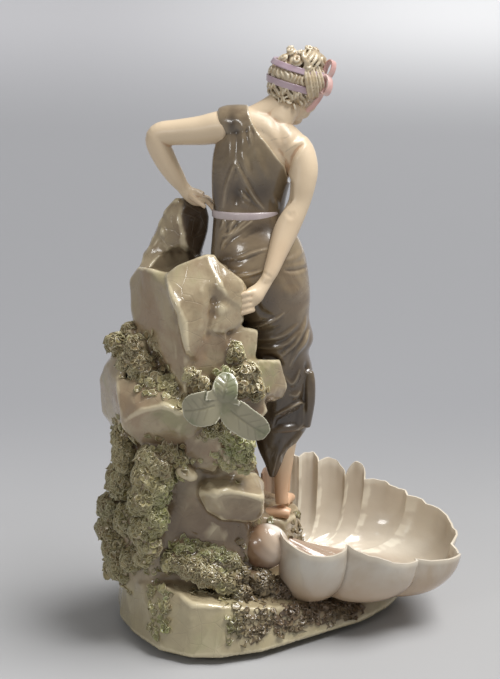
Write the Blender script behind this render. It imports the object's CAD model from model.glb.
import math
import random

import bmesh
import bpy
import numpy as np
from mathutils import Matrix, Vector
from mathutils.bvhtree import BVHTree


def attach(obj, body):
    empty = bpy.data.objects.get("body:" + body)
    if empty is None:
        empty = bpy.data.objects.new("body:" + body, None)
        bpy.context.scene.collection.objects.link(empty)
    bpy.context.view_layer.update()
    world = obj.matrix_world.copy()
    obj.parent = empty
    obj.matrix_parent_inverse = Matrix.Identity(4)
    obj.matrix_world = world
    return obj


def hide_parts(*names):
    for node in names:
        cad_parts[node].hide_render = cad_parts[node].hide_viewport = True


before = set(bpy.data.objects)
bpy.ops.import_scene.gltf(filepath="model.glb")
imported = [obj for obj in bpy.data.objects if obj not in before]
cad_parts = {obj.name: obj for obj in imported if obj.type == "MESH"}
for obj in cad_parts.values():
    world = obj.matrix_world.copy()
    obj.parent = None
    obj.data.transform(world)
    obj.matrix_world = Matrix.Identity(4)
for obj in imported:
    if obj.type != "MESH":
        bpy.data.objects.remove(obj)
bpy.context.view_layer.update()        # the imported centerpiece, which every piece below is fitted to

mm = 0.001      # shapes are written in millimetres, and keep() scales them
# the view: metres and degrees, then the picture's focal length, middle and rows in pixels
photoCamera = {"place": (-0.025, -1.15, 0.55), "pitch": 14.5, "focal": 1368.0, "middle": (250.0, 339.5),
               "rows": 679.0, "sensor": 36.0}


# paths, lofts and fused skins

def smoothPath(points, steps):
    rows = [np.array(point, dtype=float) for point in points]
    rows = [2 * rows[0] - rows[1]] + rows + [2 * rows[-1] - rows[-2]]
    out = []
    for index in range(1, len(rows) - 2):
        before, start, end, after = rows[index - 1:index + 3]
        for step in range(steps):
            t = step / steps
            out.append(0.5 * (2 * start + (end - before) * t
                              + (2 * before - 5 * start + 4 * end - after) * t * t
                              + (3 * start - before - 3 * end + after) * t ** 3))
    out.append(rows[-2])
    return out


def ringFrame(centre, along, side, halfWidth, halfDepth):
    along = along.normalized()
    across = (side - along * side.dot(along)).normalized()
    rows = Matrix((across * halfWidth, along.cross(across) * halfDepth, along)).transposed().to_4x4()
    rows.translation = centre
    return rows


def addLoft(bm, rings, side=(1, 0, 0), sides=28, steps=4, level=False):
    # rings are x, y, z, half width and half depth, in millimetres
    path = smoothPath(rings, steps) if steps > 1 else [np.array(row, dtype=float) for row in rings]
    side = Vector(side)
    loops = []
    for index, row in enumerate(path):
        ahead = path[min(index + 1, len(path) - 1)]
        behind = path[max(index - 1, 0)]
        along = Vector((0, 0, ahead[2] - behind[2])) if level else Vector(ahead[:3] - behind[:3])
        home = ringFrame(Vector(row[:3]), along, side, row[3], row[-1])
        loops.append(bmesh.ops.create_circle(bm, segments=sides, radius=1.0, matrix=home)["verts"])
    for lower, upper in zip(loops, loops[1:]):
        members = set(lower) | set(upper)
        edges = {edge for vert in members for edge in vert.link_edges if len(edge.link_faces) < 2}
        bmesh.ops.bridge_loops(bm, edges=[edge for edge in edges if members.issuperset(edge.verts)])
    for end in (loops[0], loops[-1]):
        bmesh.ops.contextual_create(bm, geom=end)


def addBall(bm, centre, radii, turn=None, detail=3):
    home = Matrix.Translation(centre)
    if turn is not None:
        home = home @ turn
    home = home @ Matrix.Diagonal((*radii, 1.0))
    bmesh.ops.create_icosphere(bm, subdivisions=detail, radius=1.0, matrix=home)


def addBlock(bm, corners):
    verts = [bm.verts.new(corner) for corner in corners]
    made = bmesh.ops.convex_hull(bm, input=verts)
    unused = [item for item in made["geom_interior"] if isinstance(item, bmesh.types.BMVert)]
    bmesh.ops.delete(bm, geom=unused, context="VERTS")


def keep(bm, name):
    bmesh.ops.scale(bm, vec=(mm, mm, mm), verts=bm.verts)
    bmesh.ops.recalc_face_normals(bm, faces=bm.faces)
    return toScene(name, toMesh(bm, name))


def applyModifiers(piece):
    evaluated = piece.evaluated_get(bpy.context.evaluated_depsgraph_get())
    mesh = bpy.data.meshes.new_from_object(evaluated)
    piece.modifiers.clear()
    piece.data = mesh
    return piece


def fuse(piece, voxel, smoothing):
    remesh = piece.modifiers.new("fuse", "REMESH")
    remesh.mode = "VOXEL"
    remesh.voxel_size = voxel * mm
    relax = piece.modifiers.new("relax", "SMOOTH")
    relax.factor = 0.5
    relax.iterations = smoothing
    return applyModifiers(piece)


def thinOut(piece, share):
    step = piece.modifiers.new("thinOut", "DECIMATE")
    step.ratio = share
    return applyModifiers(piece)


def toMesh(bm, name):
    mesh = bpy.data.meshes.new(name)
    bm.to_mesh(mesh)
    bm.free()
    return mesh


def toScene(name, data):
    holder = bpy.data.objects.new(name, data)
    bpy.context.scene.collection.objects.link(holder)
    return holder


def addPart(bm, small):
    # operators slow down on a large mesh, so small parts are made alone and then added
    mesh = toMesh(small, "part")
    bm.from_mesh(mesh)
    bpy.data.meshes.remove(mesh)


def cut(piece, cutter):
    step = piece.modifiers.new("cut", "BOOLEAN")
    step.object = cutter
    step.operation = "DIFFERENCE"
    step.solver = "EXACT"
    applyModifiers(piece)
    bpy.data.objects.remove(cutter)


def measure(piece):
    # places in millimetres and normals, as rows
    count = len(piece.data.vertices)
    places = np.empty(count * 3, dtype=np.float32)
    normals = np.empty(count * 3, dtype=np.float32)
    piece.data.vertices.foreach_get("co", places)
    piece.data.vertices.foreach_get("normal", normals)
    return places.reshape(-1, 3).astype(float) / mm, normals.reshape(-1, 3).astype(float)


def place(piece, places):
    piece.data.vertices.foreach_set("co", (places * mm).astype(np.float32).ravel())
    piece.data.update()


def mark(piece, name, values):
    layer = piece.data.attributes.new(name, "FLOAT", "POINT")
    layer.data.foreach_set("value", np.ascontiguousarray(values, dtype=np.float32))


def linked(piece):
    pairs = np.empty(len(piece.data.edges) * 2, dtype=np.int32)
    piece.data.edges.foreach_get("vertices", pairs)
    return pairs.reshape(-1, 2)


def spread(values, pairs, rounds):
    # averages a value over each point's neighbours, a few times
    count = len(values)
    near = np.bincount(pairs.ravel(), minlength=count)
    near = np.maximum(near, 1)
    for _ in range(rounds):
        total = np.bincount(pairs[:, 0], weights=values[pairs[:, 1]], minlength=count)
        total += np.bincount(pairs[:, 1], weights=values[pairs[:, 0]], minlength=count)
        values = 0.5 * values + 0.5 * total / near
    return values


def markRelief(piece, reach, strength):
    # ridges come out positive and hollows negative, for the glaze that pools and thins
    places, normals = measure(piece)
    pairs = linked(piece)
    soft = np.stack([spread(places[:, axis], pairs, reach) for axis in range(3)], axis=1)
    proud = ((places - soft) * normals).sum(axis=1)
    mark(piece, "relief", np.clip(spread(proud, pairs, 2) * strength, -1.0, 1.0))


def photoSpots(places):
    # where points in millimetres show in the photograph's frame
    pitch = math.radians(photoCamera["pitch"])
    away = places * mm - np.array(photoCamera["place"])
    depth = away[:, 1] * math.cos(pitch) - away[:, 2] * math.sin(pitch)
    up = away[:, 1] * math.sin(pitch) + away[:, 2] * math.cos(pitch)
    across = photoCamera["middle"][0] + photoCamera["focal"] * away[:, 0] / depth
    return np.stack([across, photoCamera["middle"][1] - photoCamera["focal"] * up / depth], axis=1)


def pathGap(spots, path, withPlace=False):
    # distance to an open path, and how far along it the nearest point lies
    best = np.full(len(spots), 1e9)
    along = np.zeros(len(spots))
    for index, (start, end) in enumerate(zip(path, path[1:])):
        start = np.array(start, dtype=float)
        run = np.array(end, dtype=float) - start
        share = np.clip(((spots - start) @ run) / max(run @ run, 1e-12), 0.0, 1.0)
        gap = np.linalg.norm(spots - (start + share[:, None] * run), axis=1)
        nearer = gap < best
        best = np.where(nearer, gap, best)
        along = np.where(nearer, (index + share) / (len(path) - 1), along)
    return (best, along) if withPlace else best


def facing(places, normals):
    sight = np.array(photoCamera["place"]) / mm - places
    sight /= np.linalg.norm(sight, axis=1)[:, None]
    return np.clip((sight * normals).sum(axis=1) * 3.0, 0.0, 1.0)


def survey(piece):
    # places, normals, where they show in the photograph's frame, and how far they face it
    places, normals = measure(piece)
    return places, normals, photoSpots(places), facing(places, normals)


def foldLift(spots, folds):
    # each fold is a height in millimetres, a half width, and the spots it runs through
    lift = np.zeros(len(spots))
    for height, width, path in folds:
        gap, along = pathGap(spots, smoothPath(path, 5), True)
        gap = gap / (width * (0.55 + 0.45 * np.sin(np.pi * along)))
        crest = np.exp(-1.3 * gap * gap)
        trough = np.exp(-1.6 * (gap - 1.8) ** 2)
        lift += height * (crest - 0.28 * trough) * np.clip(4 * along * (1 - along), 0.0, 1.0) ** 0.6
    return lift


def lineMask(spots, path, width):
    return np.exp(-(pathGap(spots, smoothPath(path, 5)) / width) ** 2)


def lineMasks(spots, paths, width):
    return np.max([lineMask(spots, path, width) for path in paths], axis=0)


def puffs(spots, areas):
    # soft round areas, each a middle and its radii
    return np.max([np.exp(-(((spots - np.array(centre)) / np.array(radii)) ** 2).sum(axis=1))
                   for centre, radii in areas], axis=0)


def insideArea(spots, corners):
    # 1 inside a closed outline, 0 outside
    inside = np.zeros(len(spots), dtype=bool)
    loop = list(corners)
    for (x0, y0), (x1, y1) in zip(loop, loop[1:] + loop[:1]):
        spans = (y0 > spots[:, 1]) != (y1 > spots[:, 1])
        meet = (x1 - x0) * (spots[:, 1] - y0) / ((y1 - y0) or 1e-9) + x0
        inside ^= spans & (spots[:, 0] < meet)
    return inside


def areaPress(spots, corners, soft):
    edge = pathGap(spots, list(corners) + [corners[0]])
    return np.where(insideArea(spots, corners), np.clip(edge / soft, 0.0, 1.0), 0.0)


def dabs(places, normals, spots, lines):
    # local swellings and dents: a middle, three radii and a height
    for centre, radii, height in lines:
        gap = (((spots - np.array(centre)) / np.array(radii)) ** 2).sum(axis=1)
        places = places + normals * (height * np.exp(-gap))[:, None]
    return places


# shader building: a Wire is a socket that can be used in sums

class Wire:
    def __init__(self, tree, socket):
        self.tree = tree
        self.socket = socket

    def maths(self, operation, first, second, clamp=False):
        step = self.tree.nodes.new("ShaderNodeMath")
        step.operation = operation
        step.use_clamp = clamp
        for slot, value in zip(step.inputs, (first, second)):
            plug(self.tree, value, slot)
        return Wire(self.tree, step.outputs[0])

    def __add__(self, other):
        return self.maths("ADD", self, other)

    __radd__ = __add__

    def __mul__(self, other):
        return self.maths("MULTIPLY", self, other)

    __rmul__ = __mul__

    def __rsub__(self, other):
        return self.maths("SUBTRACT", other, self)

    def clamped(self):
        return self.maths("ADD", self, 0.0, clamp=True)

    def most(self, other):
        return self.maths("MAXIMUM", self, other)


def plug(tree, value, slot):
    if isinstance(value, Wire):
        tree.links.new(value.socket, slot)
    elif isinstance(value, (tuple, list)) and len(value) == 3 and slot.type == "RGBA":
        slot.default_value = (*value, 1.0)
    else:
        slot.default_value = value


class Glaze:
    # one material; node() adds any node, with its settings first and then its inputs
    def __init__(self, name, rough, coat=0.0, coatRough=0.08):
        self.material = bpy.data.materials.new(name)
        self.material.use_nodes = True
        self.tree = self.material.node_tree
        self.shader = self.tree.nodes["Principled BSDF"]
        self.shader.inputs["Roughness"].default_value = rough
        self.shader.inputs["Coat Weight"].default_value = coat
        self.shader.inputs["Coat Roughness"].default_value = coatRough
        self.spot = self.node("ShaderNodeTexCoord", output="Object")

    def node(self, kind, settings=None, output=0, **inputs):
        made = self.tree.nodes.new(kind)
        for key, value in (settings or {}).items():
            setattr(made, key, value)
        for key, value in inputs.items():
            slot = made.inputs[int(key[1:])] if key[0] == "i" and key[1:].isdigit() else made.inputs[key]
            plug(self.tree, value, slot)
        return Wire(self.tree, made.outputs[output])

    def noise(self, scale, detail=4.0, rough=0.55, warp=0.0, stretch=None):
        spot = self.spot
        if stretch:
            spot = self.node("ShaderNodeMapping", i0=self.spot, i3=stretch)
        return self.node("ShaderNodeTexNoise", Vector=spot, Scale=scale, Detail=detail,
                         Roughness=rough, Distortion=warp)

    def cells(self, scale):
        return self.node("ShaderNodeTexVoronoi", {"feature": "DISTANCE_TO_EDGE"}, Vector=self.spot,
                         Scale=scale)

    def band(self, value, low, high):
        return self.node("ShaderNodeMapRange", {"interpolation_type": "SMOOTHSTEP"},
                         i0=value, i1=low, i2=high, i3=0.0, i4=1.0)

    def under(self, value, low, high):
        return 1.0 - self.band(value, low, high)

    def clouds(self, low, high, *noise):
        return self.band(self.noise(*noise), low, high)

    def mark(self, name):
        return self.node("ShaderNodeAttribute", {"attribute_name": name}, output="Fac")

    def mix(self, first, second, share):
        return self.node("ShaderNodeMix", {"data_type": "RGBA"}, output=2, i0=share, i6=first, i7=second)

    def ridges(self, low, high):
        return self.band(self.mark("relief"), low, high)

    def hollows(self, low, high):
        return self.band(0.0 - self.mark("relief"), low, high)

    def washes(self, colour, layers):
        # tints laid over one another, each with its share
        for tint, share in layers:
            colour = self.mix(colour, tint, share)
        return colour

    def height(self, axis="Z"):
        return self.node("ShaderNodeSeparateXYZ", i0=self.spot, output=axis)

    def bump(self, value, strength, distance):
        made = self.tree.nodes.new("ShaderNodeBump")
        made.inputs["Strength"].default_value = strength
        made.inputs["Distance"].default_value = distance
        plug(self.tree, value, made.inputs["Height"])
        self.tree.links.new(made.outputs[0], self.shader.inputs["Normal"])

    def finish(self, colour, rough=None):
        plug(self.tree, colour, self.shader.inputs["Base Color"])
        if rough is not None:
            plug(self.tree, rough, self.shader.inputs["Roughness"])
        return self.material


def settle(piece, material):
    # the last step of each piece: its glaze, its body and the node it stands for
    piece.data.materials.clear()
    piece.data.materials.append(material)
    piece.data.shade_smooth()
    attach(piece, "root")
    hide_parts("centerpiece")
    print("made", piece.name, len(piece.data.polygons), "faces")


# the maiden

maiden = {
    "trunk": [(-24, 15, 340, 31, 24), (-26, 16, 361, 29, 20), (-25, 17, 380, 31, 21),
              (-22, 17, 400, 34, 23), (-19, 16, 416, 35, 21.5), (-17, 15.5, 429, 31, 19),
              (-15, 16, 439, 20, 14.5)],
    "yoke": [(-54, 18, 437, 10, 10), (-42, 17, 438, 14, 14), (-26, 15, 436, 16, 15),
             (-9, 14, 430, 17, 16), (6, 12, 421, 16, 15), (16, 10, 415, 13, 13)],
    "nape": [(-30, 16, 436, 14, 13), (-20, 17, 442, 12, 11), (-10, 18, 447, 11, 11), (-2, 20, 452, 11, 11)],
    "neck": [(-9, 17, 424, 12), (-3, 16, 438, 13.2), (4, 20, 449, 12.4), (11, 27, 460, 12)],
    "leftArm": [(-30, 16, 432, 15), (-48, 17, 434, 14), (-66, 20, 431, 12.5), (-86, 24, 429, 11),
                (-101, 27, 427, 10.5), (-104, 28, 420, 10.5), (-97, 30, 403, 9.5), (-88, 31, 388, 7.5),
                (-81, 31, 378, 4.6)],
    "rightArm": [(2, 13, 419, 14), (14, 9, 416, 14), (19.5, 4, 402, 13), (18.5, 1, 388, 12),
                 (15.5, -1, 373, 10.5), (9.5, -5, 360, 11), (4, -10, 347, 10.4), (-2, -18, 332, 8.2),
                 (-8, -26, 317, 6.2), (-13, -30, 309, 4.4)],
    "rightLeg": [(4, 14, 190, 16), (5, 12, 160, 12.5), (4, 11, 135, 9), (3, 9, 112, 6.2), (4, 8, 98, 6)],
    "leftLeg": [(0, 30, 190, 16), (4, 34, 160, 12.5), (6, 37, 135, 9.5), (6, 38, 112, 6.6),
                (6, 38, 98, 6)],
    "rightFoot": [(11, 7, 88, 6), (3, 8, 90, 7), (-7, 10, 88, 6.4), (-17, 12, 85, 5)],
    "leftFoot": [(5, 31, 88, 6), (7, 40, 90, 7), (10, 50, 87, 6.4), (13, 60, 84, 5)],
    "fingerRadius": 2.6,
    "fingerTaper": (1.1, 1.02, 0.9, 0.72),
    "drawnIn": 2.4,
    "voxel": 0.94,
    "relief": (10, 3.0),      # how widely the surface is averaged, and how strongly the glaze shows it
    "headPlace": (14, 31, 466),
    "headScale": 1.06,
    "headLook": (0.42, 0.80, -0.38),
    "headUp": (0.32, 0.28, 0.91),
}
# the gown's edge over the back, in the photograph's frame
neckline = [(250, 104), (250.5, 110), (252, 119), (258, 130), (268, 142), (278, 155), (284, 163),
            (287, 173), (292, 182), (330, 190)]


def headFrame():
    look = Vector(maiden["headLook"]).normalized()
    side = look.cross(Vector(maiden["headUp"])).normalized()
    turn = Matrix((side, look, side.cross(look))).transposed().to_4x4()
    turn.translation = Vector(maiden["headPlace"])
    return turn @ Matrix.Scale(maiden["headScale"], 4)


def headSpots(places):
    # the same points seen from the head's own frame
    back = headFrame().inverted()
    return places @ np.array(back.to_3x3()).T + np.array(back.translation)


def mirrored(points):
    # the left and the right copy of some points of the right side
    return [[(side * x, *rest) for x, *rest in points] for side in (-1, 1)]


def limb(rows, flat=1.0):
    return [(x, y, z, radius, radius * flat) for x, y, z, radius in rows]


# the head in its own frame, from the middle between the ears: balls as middle and radii
headForm = {
    # skull, jaw, chin and brow
    "middle": [((0, -3, 6), (19, 23, 21)), ((0, 5, -5), (15.5, 17, 21)), ((0, 13, -21), (7.0, 7.5, 6.0)),
               ((0, 17.5, 7), (12, 4.6, 5))],
    # of one side: cheekbone, cheek, eye, nostril and ear
    "side": [((9, 14, -7), (6, 6, 7.5)), ((7, 11, -14), (6, 7, 7)), ((6.8, 17.4, 0.5), (3.8, 3.2, 3.0)),
             ((2.3, 22.4, -7.4), (1.9, 2.1, 1.5)), ((16.5, 0, -3), (2.5, 4.0, 6.0))],
    "nose": [(0, 19.8, 6, 1.8, 1.6), (0, 22.0, 0, 1.9, 2.0), (0, 24.2, -6, 2.3, 2.4)],
    # tip of the nose, upper and lower lip
    "front": [((0, 23.9, -6.7), (2.4, 2.4, 2.1)), ((0, 20.7, -13.0), (5.0, 2.4, 1.7)),
              ((0, 20.3, -15.6), (4.0, 2.4, 1.7))],
}


def addHead(bm):
    start = len(bm.verts)
    for centre, radii in headForm["middle"]:
        addBall(bm, centre, radii)
    for side in (-1, 1):
        for (x, y, z), radii in headForm["side"]:
            addBall(bm, (side * x, y, z), radii)
    addLoft(bm, headForm["nose"], steps=3)
    for centre, radii in headForm["front"]:
        addBall(bm, centre, radii)
    bm.verts.ensure_lookup_table()
    bmesh.ops.transform(bm, matrix=headFrame(), verts=bm.verts[start:])


def addHand(bm, palm, fingers, thumb):
    addLoft(bm, limb(palm, 0.74), sides=20)
    size = maiden["fingerRadius"]
    for finger in fingers + [thumb]:
        rings = [(x, y, z, size * share, size * share)
                 for (x, y, z), share in zip(finger, maiden["fingerTaper"])]
        addLoft(bm, rings, sides=12)


def addLeftHand(bm):
    palm = [(-86, 31, 385, 5.6), (-79, 30, 376.5, 6.2), (-72, 29, 372.5, 7.6), (-66, 28, 371, 7.2)]
    fingers = [[(-69, 20 + 5.4 * step, 371), (-63, 19 + 5.4 * step, 371), (-58.5, 18.6 + 5.3 * step, 367),
                (-57 + abs(step - 1.5), 18.4 + 5.2 * step, 361.5)] for step in range(4)]
    addHand(bm, palm, fingers, [(-76, 25, 374), (-72, 19, 372), (-67, 15, 369), (-63, 13.5, 366)])


def addRightHand(bm):
    palm = [(-8, -26, 316, 5.4), (-15, -31, 306, 6.0), (-21, -34, 300, 7.8), (-25, -35, 296, 7.4)]
    fingers = [[(-22, -36, 303 - 4.9 * step), (-27, -40, 302.5 - 5.0 * step),
                (-32, -40.5, 301 - 5.1 * step), (-35.5 + 0.6 * step, -38, 299.5 - 5.1 * step)]
               for step in range(4)]
    addHand(bm, palm, fingers, [(-15, -32, 300), (-17, -28, 295), (-21, -24, 291), (-24, -21, 289)])


# the face, in the head's own frame: what is written once for the right side is made on both
faceWork = {
    "sideDents": [((7, 20, 3.2), (4.2, 5, 2.6), -1.5), ((1.9, 24, -8.9), (1.0, 1.6, 0.7), -1.0),
                  ((3.6, 22, -6), (1.3, 3, 2.4), -0.9), ((6.6, 19, -13.8), (1.5, 3, 1.5), -0.6),
                  ((7, 20, 0.9), (2.9, 4, 1.7), 0.9)],
    "middleDents": [((0, 21, -10.3), (1.0, 3, 1.3), -0.5), ((0, 21, -18), (4.5, 4, 1.4), -0.8)],
    "sideFolds": [(0.45, 0.7, [(3.4, 0.4), (6.8, 2.5), (10.4, 0.4)]),
                  (0.30, 0.7, [(3.6, 0.0), (7, -1.3), (10.2, 0.2)])],
    "middleFolds": [(0.5, 1.0, [(-4.6, -13.3), (-1.7, -12.2), (0, -12.6), (1.7, -12.2), (4.6, -13.3)]),
                    (-0.8, 0.6, [(-5.1, -13.9), (-2, -13.8), (0, -14.1), (2, -13.8), (5.1, -13.9)]),
                    (0.6, 1.2, [(-3.2, -15.2), (0, -16.0), (3.2, -15.2)])],
    "brow": [(3.2, 6.2), (7, 7.6), (11.4, 5.6)],
    "lash": [(3.4, 0.6), (6.8, 2.2), (10.6, 0.3)],
    "lips": [[(-4.6, -13.6), (0, -13.4), (4.6, -13.6)], [(-3.2, -15.0), (0, -15.6), (3.2, -15.0)]],
}
# folds of the bare back and arm: height, half width, route in the photograph's frame
backWork = [
    (-0.9, 5, [(274, 116), (279, 130), (284, 150)]), (0.8, 7, [(262, 122), (270, 134), (280, 148)]),
    (0.7, 6, [(292, 132), (290, 146), (288, 156)]),
    (-2.0, 3.4, [(304, 143), (296, 150), (290, 160), (287, 174)]),
    (-0.5, 3, [(286, 212), (291, 216), (294, 211)]), (-0.35, 2, [(262, 271), (267, 275), (272, 278)]),
    (0.4, 5, [(296, 122), (303, 132), (309, 143)]),
]
# hairlines in the old glaze of the shoulder, seen in the photograph's frame
crazeLines = [[(271, 140), (277, 138.6), (284, 138), (288.5, 136), (290, 131), (288, 127)],
              [(286, 151), (291, 148), (296, 145)], [(262, 130), (264, 133)]]


def underGown(places):
    # 1 where the gown covers the skin, which is drawn in there so that no fold lets it through
    x, y, z = places.T
    drop = np.interp(x, [-60, -37, -24, 9, 60], [460, 455, 437, 396, 372]) - z
    under = np.clip((drop - 2.0) / 5.0, 0.0, 1.0) * np.clip((x + 48) / 4, 0.0, 1.0)
    return under * (z > 200) * (y > -10) * np.clip((12 - x) / 4, 0.0, 1.0)


def makeSkin():
    bm = bmesh.new()
    addLoft(bm, maiden["trunk"], sides=40, level=True)
    addLoft(bm, limb([(x, y, z, a) for x, y, z, a, b in maiden["yoke"]], 0.95), side=(0, 1, 0), sides=32)
    addLoft(bm, limb(maiden["neck"]))
    addLoft(bm, maiden["nape"], side=(0, 1, 0))
    for name in ("leftArm", "rightArm"):
        addLoft(bm, limb(maiden[name]), side=(0, 1, 0))
    for name in ("rightLeg", "leftLeg"):
        addLoft(bm, limb(maiden[name]))
    addLoft(bm, limb(maiden["rightFoot"], 0.8), side=(0, 1, 0))
    addLoft(bm, limb(maiden["leftFoot"], 0.8))
    addLeftHand(bm)
    addRightHand(bm)
    addHead(bm)
    skin = keep(bm, "bareSkin")
    fuse(skin, maiden["voxel"], 4)
    places, normals, spots, seen = survey(skin)
    places += normals * (foldLift(spots, backWork) * seen)[:, None]
    places -= normals * (maiden["drawnIn"] * underGown(places))[:, None]
    local = headSpots(places)
    front = np.clip((local[:, 1] - 6) / 6, 0.0, 1.0)
    dents = [(centre, radii, height) for spot, radii, height in faceWork["sideDents"]
             for (centre,) in mirrored([spot])] + faceWork["middleDents"]
    folds = [(height, width, path) for height, width, half in faceWork["sideFolds"]
             for path in mirrored(half)] + faceWork["middleFolds"]
    places = dabs(places, normals, local, dents)
    flat = local[:, [0, 2]]
    places += normals * (foldLift(flat, folds) * front)[:, None]
    place(skin, places)
    brows = lineMasks(flat, mirrored(faceWork["brow"]), 0.55)
    lashes = lineMasks(flat, mirrored(faceWork["lash"]), 0.45)
    mark(skin, "lips", lineMasks(flat, faceWork["lips"], 1.0) * front)
    mark(skin, "brows", np.maximum(0.8 * brows, lashes) * front)
    mark(skin, "craze", lineMasks(spots, crazeLines, 0.42) * seen)
    markRelief(skin, *maiden["relief"])
    return skin


def skinGlaze():
    glaze = Glaze("ivory skin glaze", rough=0.38, coat=0.25, coatRough=0.25)
    fine = glaze.band(glaze.cells(95.0), 0.0, 0.035)
    colour = glaze.washes((0.72, 0.575, 0.40), [
        ((0.62, 0.445, 0.285), glaze.clouds(0.42, 0.7, 14.0, 3.0) * 0.6),
        ((0.50, 0.30, 0.17), glaze.hollows(0.12, 0.8) * 0.8),
        ((0.66, 0.36, 0.20), glaze.under(glaze.height(), 0.10, 0.17) * 0.7),
        ((0.62, 0.19, 0.15), glaze.mark("lips") * 0.75), ((0.20, 0.11, 0.06), glaze.mark("brows") * 0.8),
        ((0.33, 0.27, 0.19), glaze.mark("craze") * 0.55), ((0.58, 0.46, 0.32), (1.0 - fine) * 0.10)])
    glaze.bump(glaze.noise(60.0, 3.0) * 0.5 + fine * 0.1, 0.10, 0.0008)
    return glaze.finish(colour, rough=0.34 + 0.14 * glaze.noise(30.0, 2.0))


# the gown

gown = {
    "skirt": [(-27, 16, 366, 29, 21), (-24, 15, 352, 33, 24), (-20, 12, 338, 38, 28),
              (-18, 11, 324, 41, 31), (-15, 10, 306, 41, 33), (-10, 12, 288, 37.5, 32),
              (-4, 15, 268, 31, 30), (1, 17, 250, 30, 29), (1, 18, 237, 26, 27),
              (3, 19, 221, 27.5, 27), (3.5, 20, 196, 28, 26), (3, 19, 178, 26.5, 25),
              (1.5, 18, 165, 23.5, 22), (-2.5, 13, 149, 15.5, 16), (-3, 9, 136, 9, 9), (-5, 7, 124, 3, 4)],
    # the edge over the bare shoulder, across and up
    "edge": [(-31, 470), (-26.5, 452), (-24.5, 443), (-19, 432.5), (-10, 421.5), (-2, 410.5), (4, 403),
             (7, 394), (12, 386), (60, 372)],
    # the part of the trailing cloth that lies at the right hip
    "trail": [(26.5, 4, 224, 4.2, 4.2), (28, 3, 212, 4.6, 4.6), (27.5, 3, 194, 4.8, 5.2),
              (25, 6, 172, 4.0, 6)],
    "proud": 1.6,
    "voxel": 0.94,
    "relief": (8, 3.2),
    "beltRings": [(357.6, 0.0), (358.2, 1.1), (361, 1.4), (363.8, 1.1), (364.4, 0.0)],
}
# folds as the back of the gown shows them: height, half width, route in the photograph's frame
backFolds = [
    (-1.0, 4.0, [(236, 120), (236.5, 138), (235, 161)]),
    (0.8, 5.0, [(230, 128), (229, 145), (228, 160), (224, 178)]),
    (0.6, 4.0, [(243, 124), (243, 138), (242, 150)]),
    (1.8, 2.4, [(235, 163), (230, 176), (226, 190), (223, 207)]),
    (1.8, 2.4, [(235, 162), (241, 173), (248, 187), (256, 200), (264, 209)]),
    (-1.6, 4.5, [(237, 178), (237, 192), (236, 205)]), (1.3, 2.2, [(250, 126), (250, 135), (252, 145)]),
    (1.2, 3.4, [(242, 153), (245, 165), (248, 178)]), (1.3, 1.8, [(238, 190), (244, 196), (250, 201)]),
    (0.9, 4.0, [(256, 148), (260, 165), (268, 182)]), (1.1, 2.4, [(273, 196), (276, 203), (278, 209)]),
    (0.9, 4.0, [(215, 140), (213, 165), (213, 190), (215, 206)]),
    (0.8, 2.2, [(242, 206), (245, 203), (248, 208)]),
    (2.0, 2.6, [(221, 251), (224, 243), (231, 236), (240, 230), (252, 221)]),
    (1.6, 2.4, [(222, 236), (230, 234), (236, 227)]), (1.4, 2.0, [(223, 218), (223, 224), (220, 230)]),
    (1.5, 2.0, [(236, 219), (231, 226), (229, 232)]), (1.4, 2.0, [(246, 221), (240, 226), (235, 232)]),
    (-1.2, 3.0, [(240, 240), (250, 234), (262, 230)]),
    (1.5, 1.7, [(231, 259), (242, 257), (254, 252.5), (268, 249)]),
    (1.3, 1.7, [(234, 276), (246, 275.5), (256, 273), (264, 270)]),
    (0.9, 4.0, [(222, 264), (232, 268), (246, 265)]), (-1.3, 2.6, [(283, 270), (296, 270), (309, 266)]),
    (1.0, 3.6, [(284, 262), (295, 258), (304, 250)]), (1.2, 7.0, [(282, 290), (292, 294), (300, 288)]),
    (-1.3, 3.0, [(256, 300), (262, 312), (275, 316)]),
    (1.8, 2.0, [(240, 327), (252, 326.5), (264, 324), (276, 319), (284, 313)]),
    (-2.0, 3.0, [(250, 333), (266, 332), (282, 326)]),
    (1.6, 2.4, [(258, 340), (272, 339), (286, 334), (298, 324)]),
    (1.5, 2.2, [(258, 348), (274, 348), (288, 343), (300, 331)]),
    (1.7, 2.2, [(278, 360), (286, 352), (296, 343), (304, 326), (306, 316)]),
    (1.8, 2.2, [(290, 366), (297, 352), (305, 342), (309, 330)]),
    (-2.4, 3.0, [(262, 356), (274, 358), (284, 366)]),
    (1.4, 3.0, [(284, 376), (291, 384), (296, 380), (300, 370)]),
    (1.4, 3.6, [(290, 395), (296, 396), (300, 392)]),
    (2.0, 2.0, [(276, 415), (288, 409), (300, 403), (304, 404)]),
    (1.8, 2.0, [(304, 404), (304, 414), (303, 424), (298, 429)]),
    (1.2, 1.8, [(268, 431), (284, 430), (299, 428.5)]), (1.4, 4.0, [(284, 436), (279, 452), (274, 470)]),
    (0.8, 2.4, [(262, 438), (266, 452), (270, 468)]), (1.2, 2.4, [(307, 378), (308, 400), (307, 424)]),
]
# where the bronze glaze lies thick and dark: middle and radii in the photograph's frame
gownPools = [((262, 192), (18, 17)), ((214, 205), (6, 30)), ((236, 192), (10, 12)), ((262, 228), (20, 8)),
             ((226, 262), (10, 9)), ((250, 306), (24, 16)), ((268, 338), (26, 20)), ((284, 420), (18, 10)),
             ((282, 455), (26, 26)), ((266, 360), (12, 14)), ((232, 125), (5, 16)), ((298, 372), (12, 16))]
pocket = [(275, 419), (288, 412), (302, 406), (301, 416), (299, 427), (284, 428), (272, 430)]
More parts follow.
